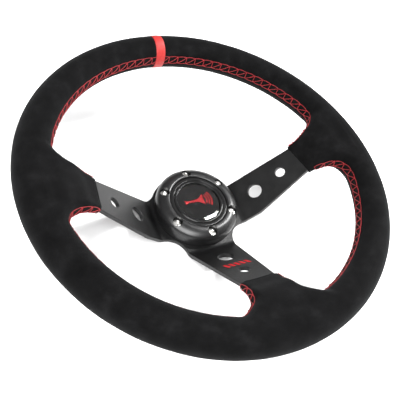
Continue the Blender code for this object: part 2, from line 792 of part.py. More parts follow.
def build():
    clear_scene()
    wheel = bpy.data.objects.new("wheel_assembly", None)
    horn_axis = bpy.data.objects.new("horn_press_axis", None)
    horn_axis.location = (0, 0, TRAVEL_STOP)
    for empty in (wheel, horn_axis):
        bpy.context.scene.collection.objects.link(empty)
    horn_axis.parent = wheel
    fixed = [make_spoke_frame(), make_hoop(), *make_rivets(), make_foam(), make_suede_cover()]
    fixed += [make_centre_marker(), make_trim_ring(), *make_screws(), make_housing()]
    fixed += [make_retaining_ring(), make_insulator_board()]
    fixed += [contact_ring("fixed_contact", 0.017, 0.022, BOARD_TOP + GAP), *make_terminals(), make_spring()]
    for piece in fixed:
        piece.parent = wheel
    moving_contact_height = TRAVEL_STOP - GAP - CONTACT_THICKNESS
    moving_contact = contact_ring("moving_contact", 0.016, 0.0225, moving_contact_height)
    moving = [make_cap(), make_emblem(), make_dome(), moving_contact]
    for piece in moving:
        piece.parent = horn_axis
        piece.location = (0, 0, -TRAVEL_STOP)


build()
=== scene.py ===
"""The looks of a deep-dish steering wheel: suede rim with red lacing, bent black spokes, and a horn button.

Units are metres, in the CAD model's frame: the origin is the centre of the hub's back face, +Z points at the
driver and +Y at the red marker at the top of the rim.
"""

import math

import bmesh
import bpy
import numpy as np
from mathutils import Matrix, Vector, kdtree, noise


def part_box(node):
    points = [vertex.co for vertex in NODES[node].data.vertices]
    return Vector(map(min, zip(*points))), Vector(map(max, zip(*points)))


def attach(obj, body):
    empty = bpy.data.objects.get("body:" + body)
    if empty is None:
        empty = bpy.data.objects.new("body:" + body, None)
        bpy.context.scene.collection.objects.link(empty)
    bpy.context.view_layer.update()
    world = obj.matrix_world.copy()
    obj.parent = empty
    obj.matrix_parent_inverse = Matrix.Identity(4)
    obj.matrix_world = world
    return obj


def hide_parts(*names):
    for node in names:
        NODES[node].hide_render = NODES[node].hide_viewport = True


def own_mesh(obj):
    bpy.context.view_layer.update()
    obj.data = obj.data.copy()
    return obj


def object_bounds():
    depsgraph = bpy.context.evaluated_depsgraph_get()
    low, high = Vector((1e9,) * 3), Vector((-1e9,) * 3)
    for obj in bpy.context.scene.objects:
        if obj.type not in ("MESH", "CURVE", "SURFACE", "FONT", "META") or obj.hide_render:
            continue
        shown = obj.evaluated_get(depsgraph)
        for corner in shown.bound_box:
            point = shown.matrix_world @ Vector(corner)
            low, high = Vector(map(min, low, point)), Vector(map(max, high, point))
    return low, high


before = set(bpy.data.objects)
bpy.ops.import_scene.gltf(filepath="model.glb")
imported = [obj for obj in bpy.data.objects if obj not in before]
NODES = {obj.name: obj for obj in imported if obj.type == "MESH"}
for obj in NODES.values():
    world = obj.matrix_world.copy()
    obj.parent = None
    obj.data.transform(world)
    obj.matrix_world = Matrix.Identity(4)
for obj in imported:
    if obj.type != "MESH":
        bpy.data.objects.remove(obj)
CAD_LOW, CAD_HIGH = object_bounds()

MM = 0.001
SHARP_ANGLE = math.radians(32)

# Rim: an elliptical section around a circle, measured on the CAD cover.
GRIP_HALF_WIDTH = 15.4 * MM
GRIP_HALF_DEPTH = 16.7 * MM
RIM_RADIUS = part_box("suede_cover")[1].x - GRIP_HALF_WIDTH
RIM_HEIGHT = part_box("suede_cover")[1].z - GRIP_HALF_DEPTH
FILLET_BLEND = 6.5 * MM
SKIN_VOXEL = 1.1 * MM
BOOT_ROUNDNESS = 0.85
BOOT_END_BLEND = 1.2 * MM

# Red marker: the photo shows it narrower than the CAD sleeve.
MARKER_SHARE = 0.82
MARKER_HALF_WIDTH = MARKER_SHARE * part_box("centre_marker")[1].x
MARKER_DEPTH = 1.2 * MM

# Relief of the suede.
SUEDE_RIPPLE = 0.16 * MM
LONG_RIPPLE = 22 * MM
SHORT_RIPPLE = 7 * MM
SEAM_VALLEY = 0.55 * MM
SEAM_PUCKER = 0.22 * MM
SEAM_SWELL = 0.25 * MM
HEM_WIDTH = 1.7 * MM
HEM_CREASE = 0.45 * MM
HEM_ZONE = (90 * MM, 125 * MM)
HEM_HALF_ZONE = 30 * MM
MARKER_DIP = 0.7 * MM
MARKER_ROLL = 0.18 * MM

# Lacing.
LACE_PITCH = 9.7 * MM
LACE_HALF_BAND = 3.7 * MM
LACE_ANGLE = math.radians(5)
LACE_START = 1.6 * MM
LACE_START_RIGHT_BOOT = 5 * MM
LACE_STEP = 1 * MM
LACE_SMOOTHING = 12
THREAD_RADIUS = 0.31 * MM
THREAD_SIDES = 8
PLY_TWIST = 2.4 * MM
SINK_UNDER_MARKER = 0.9 * MM

# Spoke plate.
PLATE = 4 * MM
PLATE_EDGE = 0.45 * MM
HUB_RADIUS = 45 * MM
HUB_BORE = 28.5 * MM
BEND_REACH = 46.75 * MM
BEND_RADIUS = 10 * MM
BEND_STEPS = 10
SLOPE = math.radians(41)
TIP_HEIGHT = 69.8 * MM
TIP_REACH = 149 * MM
RIVET_COUNT = 6
MARK_STRIPES = 5
MARK_PITCH = 5.4 * MM
MARK_MIDDLE = 0.8 * MM

# Trim ring, screws and horn button.
SCREW_CIRCLE = 35 * MM
SCREW_COUNT = 6
RING_LOW, RING_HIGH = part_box("trim_ring")
RING_RADIUS = RING_HIGH.x
RING_TOP = RING_HIGH.z
RING_OPENING = 29.5 * MM
COUNTERBORE = 4.75 * MM
CUTTER_LENGTH = 20 * MM
SCREW_HOLE = 2.8 * MM
SCREW_SHANK = 2.5 * MM
HEAD_RADIUS = 4.25 * MM
HEAD_SEAT = 13.7 * MM
HEAD_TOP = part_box("hub_screw_1")[1].z
SOCKET_RADIUS = 2.25 * MM
SOCKET_DEPTH = 1.8 * MM
SCREW_TURN = math.radians(17)
CAP_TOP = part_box("horn_cap")[1].z
SYMBOL_SCALE = 1.45 * MM
SYMBOL_RISE = 1.5 * MM
TURNED_STEPS = 144

# Stage, lights and camera, which is turned by angles in degrees.
WORLD_LIGHT = 0.35
FLOOR_GAP = 0.1 * MM
FLOOR_HALF_WIDTH = 4.0
LIGHT_TARGET = (0, 0, 0.05)
CAMERA_PLACE = (-0.2197, -0.2294, 0.4188)
CAMERA_TURN = (43.9, -50.07, 25.64)
CAMERA_LENS = 46.03


class Spoke:
    """One arm: the directions it runs out and across, its boot's skewed end, and its holes."""

    def __init__(self, name, outward, across, middle, end_skew, boot_low, boot_high, holes):
        self.name = name
        self.outward = np.array((*outward, 0.0))
        self.across = np.array((*across, 0.0))
        self.middle = middle
        self.end_skew = end_skew
        self.boot_low = np.array(boot_low) * MM
        self.boot_high = np.array(boot_high) * MM
        self.holes = holes

    def at(self, reach, across, height):
        """Points for reaches from the axis, distances across the arm and heights."""
        reach, across, height = np.broadcast_arrays(reach, across, height)
        flat = reach[..., None] * self.outward + across[..., None] * self.across
        return flat + height[..., None] * np.array((0.0, 0.0, 1.0))


# The boot's sections from its open end to inside the rim.
BOOT_REACH = np.array((108, 114.5, 122, 130, 139, 150)) * MM
BOOT_HEIGHT = np.array((55.2, 60.9, 67.2, 70.5, 72.4, 73.4)) * MM
BOOT_TILT = np.radians((41, 41, 36, 20, 6, 0))
BOOT_HALF = np.array((3.5, 3.9, 5.6, 8.6, 11.8, 11.5)) * MM
# The boots' edges across the arm at those reaches, and holes as reach, distance across and radius, in mm.
SIDE_LOW = (-14.1, -13.8, -15.3, -16.8, -22, -38)
SIDE_HIGH = (24.4, 26, 29.6, 35, 46, 58)
LOWER_HALF = np.array((19.4, 19.0, 20.5, 24, 36, 50))
SIDE_HOLES = ((66.5, -1.5, 7.5), (91, 2.5, 5.25))
LOWER_HOLES = ((66.5, 0, 7.5), (91, 0, 5.25))
RIGHT = Spoke("right", (1, 0), (0, 1), 5.25 * MM, 0.18, SIDE_LOW, SIDE_HIGH, SIDE_HOLES)
LEFT = Spoke("left", (-1, 0), (0, 1), 5.25 * MM, 0.18, SIDE_LOW, SIDE_HIGH, SIDE_HOLES)
LOWER = Spoke("lower", (0, -1), (1, 0), 0.0, 0.0, -LOWER_HALF, LOWER_HALF, LOWER_HOLES)
SPOKES = (RIGHT, LEFT, LOWER)


# ---------------- small tools


def add_mesh(name, verts, faces, material, body, slot, *stands_for, smooth=True):
    """A mesh piece that rides on a body, takes a material and stands for CAD nodes; its slot is not used."""
    mesh = bpy.data.meshes.new(name)
    mesh.from_pydata([tuple(v) for v in verts], [], [tuple(f) for f in faces])
    return finish_piece(name, mesh, material, body, slot, *stands_for, smooth=smooth)


def finish_piece(name, mesh, material, body, slot, *stands_for, smooth=True):
    """An object of a finished mesh, with its material, its body and the CAD nodes that it stands for."""
    mesh.materials.clear()
    mesh.materials.append(material)
    if smooth:
        mesh.shade_smooth()
        mesh.set_sharp_from_angle(angle=SHARP_ANGLE)
    obj = bpy.data.objects.new(name, mesh)
    bpy.context.scene.collection.objects.link(obj)
    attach(obj, body)
    if stands_for:
        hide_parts(*stands_for)
    return obj


def apply_modifiers(obj):
    """Replaces the object's mesh by what its modifiers make of it."""
    graph = bpy.context.evaluated_depsgraph_get()
    mesh = bpy.data.meshes.new_from_object(obj.evaluated_get(graph))
    obj.modifiers.clear()
    obj.data = mesh


def lathe(profile, closed=False, centre=(0.0, 0.0), ripple=None):
    """Vertices and faces of a profile of (radius, height) turned around Z.

    An open profile starts and ends on the axis.
    """
    profile = np.array(profile)
    steps = TURNED_STEPS
    turn = 2 * math.pi * np.arange(steps) / steps
    radius = profile[None, :, 0] * np.ones((steps, 1))
    if ripple is not None:
        radius = radius + ripple(turn[:, None], profile[None, :, 1])
    x = centre[0] + radius * np.cos(turn)[:, None]
    y = centre[1] + radius * np.sin(turn)[:, None]
    z = np.broadcast_to(profile[None, :, 1], x.shape)
    verts = np.stack((x, y, z), axis=-1).reshape(-1, 3)
    count = len(profile)
    faces = []
    for step in range(steps):
        here, there = step * count, (step + 1) % steps * count
        for index in range(count if closed else count - 1):
            after = (index + 1) % count
            faces.append((here + index, there + index, there + after, here + after))
    return verts, faces


def turned(name, profile, material, body, slot, *stands_for, closed=False, centre=(0.0, 0.0), ripple=None):
    """A turned piece, with the doubled points on its axis merged."""
    verts, faces = lathe(profile, closed, centre, ripple)
    bm = bmesh.new()
    made = [bm.verts.new(v) for v in verts]
    for face in faces:
        bm.faces.new([made[index] for index in face])
    bmesh.ops.remove_doubles(bm, verts=bm.verts, dist=1e-7)
    bmesh.ops.dissolve_degenerate(bm, edges=bm.edges, dist=1e-8)
    bmesh.ops.recalc_face_normals(bm, faces=bm.faces)
    mesh = bpy.data.meshes.new(name)
    bm.to_mesh(mesh)
    bm.free()
    return finish_piece(name, mesh, material, body, slot, *stands_for)


def arc(centre, radii, start, end, steps):
    """Points of (x, y) along an arc of a circle or an ellipse, with its angles in degrees."""
    angles = np.radians(np.linspace(start, end, steps + 1))
    return [(centre[0] + radii[0] * math.cos(a), centre[1] + radii[1] * math.sin(a)) for a in angles]


def cutter(name, bm):
    """A plain object made of a bmesh, to cut with or to remesh."""
    mesh = bpy.data.meshes.new(name)
    bmesh.ops.recalc_face_normals(bm, faces=bm.faces)
    bm.to_mesh(mesh)
    bm.free()
    obj = bpy.data.objects.new(name, mesh)
    bpy.context.scene.collection.objects.link(obj)
    return obj


def cut(obj, tool):
    """Takes a cutter's shape out of a piece and removes the cutter."""
    modifier = obj.modifiers.new("cut", "BOOLEAN")
    modifier.operation = "DIFFERENCE"
    modifier.object = tool
    apply_modifiers(obj)
    bpy.data.objects.remove(tool)


def through(points, steps):
    """A smooth curve through points, as a Catmull-Rom spline with its ends doubled."""
    points = np.array(points, float)
    ends = np.vstack((2 * points[0] - points[1], points, 2 * points[-1] - points[-2]))
    share = np.linspace(0, 1, steps, endpoint=False)[:, None]
    rows = []
    for a, b, c, d in zip(ends, ends[1:], ends[2:], ends[3:]):
        bend = 2 * a - 5 * b + 4 * c - d
        rows.append(0.5 * (2 * b + (c - a) * share + bend * share**2 + (3 * b - a - 3 * c + d) * share**3))
    return np.vstack((*rows, points[-1:]))


def band(here, there, count):
    """Faces between two closed loops of count vertices, given by their first vertices."""
    faces = []
    for index in range(count):
        after = (index + 1) % count
        faces.append((here + index, here + after, there + after, there + index))
    return faces


def smooth_step(value, start, end):
    """0 before the start, 1 past the end, and a smooth rise between them."""
    share = np.clip((value - start) / (end - start), 0, 1)
    return share * share * (3 - 2 * share)


# ---------------- materials


class Nodes:
    """A Principled material with short ways to add its procedural detail, in object coordinates."""

    def __init__(self, name, colour, roughness, metallic=0.0, **uniform):
        self.material = bpy.data.materials.new(name)
        self.material.use_nodes = True
        self.tree = self.material.node_tree
        self.shader = self.tree.nodes["Principled BSDF"]
        self.shader.inputs["Base Color"].default_value = (*colour, 1)
        self.shader.inputs["Roughness"].default_value = roughness
        self.shader.inputs["Metallic"].default_value = metallic
        for key, value in uniform.items():
            self.shader.inputs[key.replace("_", " ")].default_value = value
        self.position = self.add("ShaderNodeTexCoord").outputs["Object"]

    def add(self, kind, **inputs):
        node = self.tree.nodes.new(kind)
        for key, value in inputs.items():
            node.inputs[key].default_value = value
        return node

    def link(self, source, target):
        self.tree.links.new(source, target)

    def noise(self, size, detail=3.0, roughness=0.55, stretch=(1, 1, 1)):
        """Noise whose features are about size across, in metres."""
        scaled = self.add("ShaderNodeMapping")
        scaled.inputs["Scale"].default_value = stretch
        texture = self.add("ShaderNodeTexNoise", Scale=1 / size, Detail=detail, Roughness=roughness)
        self.link(self.position, scaled.inputs["Vector"])
        self.link(scaled.outputs["Vector"], texture.inputs["Vector"])
        return texture.outputs["Fac"]

    def cells(self, size, feature="F1"):
        texture = self.add("ShaderNodeTexVoronoi", Scale=1 / size)
        texture.feature = feature
        self.link(self.position, texture.inputs["Vector"])
        return texture.outputs["Distance"]

    def ramp(self, source, *stops):
        """Colours or grey values placed along a 0 to 1 input."""
        node = self.add("ShaderNodeValToRGB")
        elements = node.color_ramp.elements
        while len(elements) < len(stops):
            elements.new(0.5)
        for element, (place, colour) in zip(elements, stops):
            element.position = place
            element.color = (*colour, 1) if isinstance(colour, tuple) else (colour, colour, colour, 1)
        self.link(source, node.inputs["Fac"])
        return node.outputs["Color"]

    def total(self, first, second, first_share=0.5):
        mix = self.add("ShaderNodeMix", Factor=1 - first_share)
        self.link(first, mix.inputs["A"])
        self.link(second, mix.inputs["B"])
        return mix.outputs["Result"]

    def colour(self, source):
        self.link(source, self.shader.inputs["Base Color"])

    def roughness(self, source, low, high):
        spread = self.add("ShaderNodeMapRange")
        spread.inputs["To Min"].default_value = low
        spread.inputs["To Max"].default_value = high
        self.link(source, spread.inputs["Value"])
        self.link(spread.outputs["Result"], self.shader.inputs["Roughness"])

    def bump(self, source, height, strength=1.0):
        node = self.add("ShaderNodeBump", Strength=strength, Distance=height)
        self.link(source, node.inputs["Height"])
        self.link(node.outputs["Normal"], self.shader.inputs["Normal"])


def make_suede():
    nodes = Nodes("suede_black", (0.004, 0.004, 0.004), 0.95, Specular_IOR_Level=0.05)
    nodes.shader.inputs["Sheen Weight"].default_value = 0.035
    nodes.shader.inputs["Sheen Roughness"].default_value = 0.45
    nodes.shader.inputs["Sheen Tint"].default_value = (0.75, 0.77, 0.8, 1)
    brushed = nodes.noise(14 * MM, detail=4, roughness=0.6)
    fibres = nodes.noise(0.35 * MM, detail=5, roughness=0.75)
    nap = nodes.total(brushed, fibres, 0.6)
    dark, middle, light = ((grey, grey, 1.04 * grey) for grey in (0.0013, 0.0034, 0.0085))
    nodes.colour(nodes.ramp(nap, (0.32, dark), (0.52, middle), (0.72, light)))
    nodes.roughness(brushed, 0.88, 1.0)
    nodes.bump(fibres, 0.25 * MM, 0.55)
    return nodes.material


def make_paint():
    nodes = Nodes("powder_coat_black", (0.004, 0.004, 0.004), 0.4, Specular_IOR_Level=0.35)
    grain = nodes.noise(1.1 * MM, detail=4, roughness=0.7)
    clouds = nodes.noise(11 * MM, detail=3)
    nodes.colour(nodes.ramp(clouds, (0.3, (0.002, 0.002, 0.0021)), (0.7, (0.005, 0.005, 0.0052))))
    nodes.roughness(nodes.total(grain, clouds), 0.3, 0.52)
    nodes.bump(grain, 0.22 * MM, 0.65)
    return nodes.material


def make_ring_paint():
    nodes = Nodes("satin_black", (0.006, 0.006, 0.0063), 0.3, Specular_IOR_Level=0.5)
    peel = nodes.noise(1.6 * MM, detail=2)
    nodes.roughness(nodes.noise(7 * MM, detail=4), 0.24, 0.4)
    nodes.colour(nodes.ramp(peel, (0.35, (0.004, 0.004, 0.0042)), (0.7, (0.008, 0.008, 0.0083))))
    nodes.bump(peel, 0.02 * MM, 0.5)
    return nodes.material


def make_plastic():
    nodes = Nodes("gloss_plastic_black", (0.01, 0.01, 0.01), 0.14, Specular_IOR_Level=0.5)
    scuffs = nodes.noise(2.5 * MM, detail=6, roughness=0.7)
    nodes.roughness(scuffs, 0.08, 0.24)
    nodes.colour(nodes.ramp(scuffs, (0.3, (0.004, 0.004, 0.0041)), (0.8, (0.008, 0.008, 0.008))))
    nodes.bump(nodes.noise(1.1 * MM, detail=2), 0.012 * MM, 0.4)
    return nodes.material


def make_leather():
    nodes = Nodes("red_leather", (0.84, 0.05, 0.04), 0.5, Specular_IOR_Level=0.35)
    pores = nodes.cells(0.85 * MM, "DISTANCE_TO_EDGE")
    creases = nodes.noise(3.2 * MM, detail=4)
    nodes.colour(nodes.ramp(creases, (0.25, (0.27, 0.012, 0.011)), (0.75, (0.4, 0.026, 0.023))))
    nodes.roughness(creases, 0.42, 0.62)
    nodes.bump(nodes.ramp(pores, (0.0, 0.0), (0.18, 1.0)), 0.06 * MM, 0.5)
    return nodes.material


def make_thread():
    nodes = Nodes("red_thread", (0.6, 0.02, 0.03), 0.6, Specular_IOR_Level=0.3)
    nodes.shader.inputs["Sheen Weight"].default_value = 0.1
    nodes.shader.inputs["Sheen Tint"].default_value = (1.0, 0.55, 0.55, 1)
    fibres = nodes.noise(0.16 * MM, detail=4, roughness=0.7)
    worn = nodes.noise(5 * MM, detail=2)
    mottled = nodes.total(fibres, worn)
    nodes.colour(nodes.ramp(mottled, (0.3, (0.1, 0.002, 0.004)), (0.62, (0.29, 0.008, 0.012))))
    nodes.roughness(worn, 0.5, 0.7)
    nodes.bump(fibres, 0.08 * MM, 0.7)
    return nodes.material


def make_metal(name, colour, roughness, grain=0.5 * MM):
    nodes = Nodes(name, colour, roughness, metallic=1.0)
    brushed = nodes.noise(grain, detail=4, roughness=0.65)
    dark = tuple(0.78 * c for c in colour)
    nodes.colour(nodes.ramp(nodes.noise(3 * MM, detail=4), (0.3, dark), (0.65, colour)))
    nodes.roughness(brushed, 0.7 * roughness, 1.5 * roughness)
    nodes.bump(brushed, 0.01 * MM, 0.4)
    return nodes.material


def make_print(name, colour, gloss):
    nodes = Nodes(name, colour, 0.4, Specular_IOR_Level=gloss)
    flecks = nodes.noise(0.7 * MM, detail=4, roughness=0.7)
    dark = tuple(0.75 * c for c in colour)
    nodes.colour(nodes.ramp(flecks, (0.3, dark), (0.6, colour)))
    nodes.bump(flecks, 0.01 * MM, 0.4)
    return nodes.material


def make_resin():
    nodes = Nodes("clear_resin", (1, 1, 1), 0.03, IOR=1.5, Transmission_Weight=1.0)
    swirl = nodes.noise(9 * MM, detail=1)
    nodes.roughness(swirl, 0.015, 0.05)
    nodes.bump(swirl, 0.03 * MM, 0.25)
    return nodes.material


def make_fibre_board():
    nodes = Nodes("fibre_board", (0.33, 0.2, 0.11), 0.75)
    weave = nodes.noise(1.2 * MM, detail=5, stretch=(1, 6, 1))
    nodes.colour(nodes.ramp(weave, (0.3, (0.24, 0.14, 0.07)), (0.7, (0.42, 0.27, 0.15))))
    nodes.bump(weave, 0.05 * MM, 0.6)
    return nodes.material


SUEDE = make_suede()
PAINT = make_paint()
RING_PAINT = make_ring_paint()
PLASTIC = make_plastic()
LEATHER = make_leather()
THREAD = make_thread()
SCREW_STEEL = make_metal("zinc_plated_steel", (0.74, 0.73, 0.71), 0.24)
PLAIN_STEEL = make_metal("plain_steel", (0.5, 0.5, 0.51), 0.34)
BRASS = make_metal("brass", (0.78, 0.57, 0.2), 0.3)
RED_PRINT = make_print("red_print", (0.4, 0.008, 0.012), 0.1)
BLACK_PRINT = make_print("black_print", (0.005, 0.005, 0.005), 0.02)
RESIN = make_resin()
FIBRE_BOARD = make_fibre_board()


# ---------------- shape of the suede skin


def blend_union(first, second, width):
    """The smaller of two distances, blended where they are nearly equal."""
    share = np.clip(0.5 + 0.5 * (second - first) / width, 0, 1)
    return second * (1 - share) + first * share - width * share * (1 - share)


def rim_distance(points):
    """How far points are outside the rim's elliptical section, roughly."""
    across = np.hypot(points[:, 0], points[:, 1]) - RIM_RADIUS
    up = (points[:, 2] - RIM_HEIGHT) * GRIP_HALF_WIDTH / GRIP_HALF_DEPTH
    return np.hypot(across, up) - GRIP_HALF_WIDTH


BOOT_CURVE = through(np.stack((BOOT_REACH, BOOT_HEIGHT, BOOT_TILT, BOOT_HALF), axis=-1), 8)


def boot_edges(spoke):
    """The boot's two side edges at the reaches of BOOT_CURVE."""
    return through(np.stack((spoke.boot_low, spoke.boot_high), axis=-1), 8)


EDGES = {spoke.name: boot_edges(spoke) for spoke in SPOKES}


def boot_frame(points, spoke):
    """A boot's mid-line and section at each point's reach, and where the point is from them."""
    reach = points @ spoke.outward
    across = points @ spoke.across
    height, tilt, half = (np.interp(reach, BOOT_CURVE[:, 0], BOOT_CURVE[:, i]) for i in (1, 2, 3))
    low, high = (np.interp(reach, BOOT_CURVE[:, 0], EDGES[spoke.name][:, i]) for i in (0, 1))
    before_boot = BOOT_HEIGHT[0] + (reach - BOOT_REACH[0]) * math.tan(BOOT_TILT[0])
    height = np.where(reach < BOOT_REACH[0], before_boot, height)
    return reach, across, (points[:, 2] - height) * np.cos(tilt), half, low, high


def end_distance(points, spoke):
    """How far points are inwards past the boot's skewed open end."""
    along = (points @ spoke.outward - BOOT_REACH[0]) * math.cos(BOOT_TILT[0])
    along = along + (points[:, 2] - BOOT_HEIGHT[0]) * math.sin(BOOT_TILT[0])
    skewed = along + spoke.end_skew * (points @ spoke.across - spoke.middle)
    return -skewed / math.hypot(1, spoke.end_skew)


def boot_distance(points, spoke):
    """How far points are outside a boot's rounded section and its open end, roughly."""
    reach, across, up, half, low, high = boot_frame(points, spoke)
    corner = BOOT_ROUNDNESS * half
    side = np.abs(across - (low + high) / 2) - ((high - low) / 2 - corner)
    face = np.abs(up) - (half - corner)
    outside = np.hypot(np.maximum(side, 0), np.maximum(face, 0))
    section = outside + np.minimum(np.maximum(side, face), 0) - corner
    inside_rim = np.maximum(section, reach - BOOT_REACH[-1])
    return -blend_union(-inside_rim, -end_distance(points, spoke), BOOT_END_BLEND)


def skin_distance(points):
    """How far points are outside the suede: the rim and the boots, with fillets between them."""
    distance = rim_distance(points)
    for spoke in SPOKES:
        distance = blend_union(distance, boot_distance(points, spoke), FILLET_BLEND)
    return distance


def gradient(distance, points, step=0.2 * MM):
    columns = []
    for axis in np.eye(3) * step:
        columns.append((distance(points + axis) - distance(points - axis)) / (2 * step))
    return np.stack(columns, axis=-1)


def settle(points, rounds=5):
    """Moves points onto the skin and returns them with the skin's normals there."""
    for _ in range(rounds):
        slope = gradient(skin_distance, points)
        size = np.maximum((slope**2).sum(axis=-1), 0.05)
        points = points - (skin_distance(points) / size)[:, None] * slope
    slope = gradient(skin_distance, points)
    return points, slope / np.linalg.norm(slope, axis=-1)[:, None]


# ---------------- lacing path


def boot_side(spoke, side, start):
    """Points along a boot's side edge towards the rim, from a start past its open end."""
    edges = spoke.boot_high if side > 0 else spoke.boot_low
    end = BOOT_REACH[0] - spoke.end_skew * (edges[0] - spoke.middle) * math.cos(BOOT_TILT[0]) + start
    reach = np.concatenate(([end], BOOT_REACH[1:4]))
    height = np.interp(reach, BOOT_REACH, BOOT_HEIGHT)
    return [spoke.at(r, a, z) for r, a, z in zip(reach, edges[:4], height)]


def rim_inside(start, end):
    """Points along the rim's inner front side between two angles in degrees."""
    radius = RIM_RADIUS - GRIP_HALF_WIDTH * math.cos(LACE_ANGLE)
    height = RIM_HEIGHT + GRIP_HALF_DEPTH * math.sin(LACE_ANGLE)
    angles = np.radians(np.linspace(start, end, max(3, round(abs(end - start) / 8))))
    return [np.array((radius * math.cos(a), radius * math.sin(a), height)) for a in angles]


def resampled(points, step):
    """Points spaced evenly along a polyline, near a step apart."""
    length = np.concatenate(([0], np.cumsum(np.linalg.norm(np.diff(points, axis=0), axis=1))))
    places = np.linspace(0, length[-1], max(2, round(length[-1] / step) + 1))
    return np.stack([np.interp(places, length, points[:, i]) for i in range(3)], axis=-1)


class Seam:
    """The lacing's centre line in one opening, with the skin's normal and the direction across the seam."""

    def __init__(self, name, first, rim, last):
        self.name = name
        guide = through(boot_side(*first) + rim_inside(*rim) + boot_side(*last)[::-1], 10)
        path = resampled(guide, LACE_STEP)
        for _ in range(LACE_SMOOTHING):
            path, normal = settle(path, rounds=2)
            path[1:-1] += 0.5 * (0.5 * (path[:-2] + path[2:]) - path[1:-1])
            path = resampled(path, LACE_STEP)
        self.path, self.normal = settle(path)
        self.tangent = np.gradient(self.path, axis=0)
        self.tangent /= np.linalg.norm(self.tangent, axis=1)[:, None]
        self.sideways = np.cross(self.normal, self.tangent)
        self.length = np.linalg.norm(np.diff(self.path, axis=0), axis=1).sum()
        self.cells = round(self.length / LACE_PITCH)

    def places(self, cell, across, lift):
        """Points at cell numbers along the seam, half-bands across it and heights over the skin."""
        index = np.clip(cell / self.cells, 0, 1) * (len(self.path) - 1)
        rows = np.arange(len(self.path))
        centre, sideways = (
            np.stack([np.interp(index, rows, field[:, i]) for i in range(3)], axis=-1)
            for field in (self.path, self.sideways)
        )
        points, normal = settle(centre + sideways * (across * LACE_HALF_BAND)[:, None], rounds=3)
        marker_start, marker_end = MARKER_HALF_WIDTH - 0.5 * MM, MARKER_HALF_WIDTH + 1 * MM
        under_marker = 1 - smooth_step(np.abs(points[:, 0]), marker_start, marker_end)
        under_marker = under_marker * (points[:, 1] > 0)
        return points + normal * (lift - under_marker * SINK_UNDER_MARKER)[:, None], normal


SEAMS = (
    Seam("upper", (RIGHT, 1, LACE_START), (23, 157), (LEFT, 1, LACE_START)),
    Seam("lower_left", (LEFT, -1, LACE_START), (194, 250), (LOWER, -1, LACE_START)),
    Seam("lower_right", (LOWER, 1, LACE_START), (290, 346), (RIGHT, -1, LACE_START_RIGHT_BOOT)),
)


# ---------------- suede skin


def boot_seed(spoke):
    """A rough closed body of a boot, for the remesh."""
    around = np.radians(np.arange(0, 360, 20))
    loops = []
    for row, edges in zip(BOOT_CURVE, EDGES[spoke.name]):
        reach, height, tilt, half = row
        across = (edges[0] + edges[1]) / 2 + (edges[1] - edges[0]) / 2 * np.cos(around)
        up = half * np.sin(around)
        loops.append(spoke.at(reach - up * math.sin(tilt), across, height + up * math.cos(tilt)))
    count = len(around)
    faces = [tuple(range(count)), tuple(range((len(loops) - 1) * count, len(loops) * count))]
    for loop in range(len(loops) - 1):
        faces += band(loop * count, (loop + 1) * count, count)
    return np.vstack(loops), faces


def remeshed_seed():
    """The rim's ring and the boots as one mesh of small even faces."""
    section = arc((RIM_RADIUS, RIM_HEIGHT), (GRIP_HALF_WIDTH, GRIP_HALF_DEPTH), 0, 350, 35)
    bm = bmesh.new()
    for verts, faces in (lathe(section, closed=True), *(boot_seed(spoke) for spoke in SPOKES)):
        made = [bm.verts.new(v) for v in verts]
        grown = [bm.faces.new([made[index] for index in face]) for face in faces]
        bmesh.ops.recalc_face_normals(bm, faces=grown)
    seed = cutter("skin_seed", bm)
    modifier = seed.modifiers.new("remesh", "REMESH")
    modifier.mode = "VOXEL"
    modifier.voxel_size = SKIN_VOXEL
    apply_modifiers(seed)
    mesh = seed.data
    bpy.data.objects.remove(seed)
    return mesh


def seam_relief(points):
    """The valley where the suede's edges meet under the lacing, and the puckers at its stitches."""
    tree = kdtree.KDTree(sum(len(seam.path) for seam in SEAMS))
    phases = []
    for seam in SEAMS:
        for index, point in enumerate(seam.path):
            tree.insert(point, len(phases))
            phases.append(index / (len(seam.path) - 1) * seam.cells)
    tree.balance()
    found = [tree.find(point) for point in points]
    distance = np.array([row[2] for row in found])
    phase = np.array([phases[row[1]] for row in found])
    valley = -SEAM_VALLEY * np.exp(-((distance / (1.3 * MM)) ** 2))
    pull = np.exp(-(((distance - LACE_HALF_BAND) / (1.5 * MM)) ** 2))
    puckers = -SEAM_PUCKER * pull * np.cos(2 * math.pi * phase)
    swell = SEAM_SWELL * np.exp(-(((distance - 7 * MM) / (2.6 * MM)) ** 2))
    return valley + puckers + swell


def hem_relief(points):
    """A fold at each boot's open end, with a crease behind it."""
    relief = np.zeros(len(points))
    for spoke in SPOKES:
        reach = points @ spoke.outward
        inside = -end_distance(points, spoke)
        near = (reach > HEM_ZONE[0]) & (reach < HEM_ZONE[1])
        near = near & (np.abs(points @ spoke.across - spoke.middle) < HEM_HALF_ZONE)
        crease = -HEM_CREASE * np.exp(-(((inside - HEM_WIDTH) / (0.6 * MM)) ** 2))
        relief += np.where(near, crease, 0)
    return relief


def marker_relief(points):
    """The suede dips under the marker and rolls up a little at the marker's edges."""
    side = np.abs(points[:, 0])
    at_top = points[:, 1] > 100 * MM
    dip = -MARKER_DIP * (1 - smooth_step(side, MARKER_HALF_WIDTH - 0.3 * MM, MARKER_HALF_WIDTH + 0.6 * MM))
    roll = MARKER_ROLL * np.exp(-(((side - MARKER_HALF_WIDTH - 1.9 * MM) / (1.0 * MM)) ** 2))
    return np.where(at_top, dip + roll, 0)


def hand_wrap(points):
    """The slow unevenness of a skin pulled over foam by hand."""
    rows = []
    for point in points:
        slow = noise.noise(Vector(point) / LONG_RIPPLE)
        quick = noise.noise(Vector(point) / SHORT_RIPPLE)
        rows.append(slow + 0.4 * quick)
    return SUEDE_RIPPLE * np.array(rows)


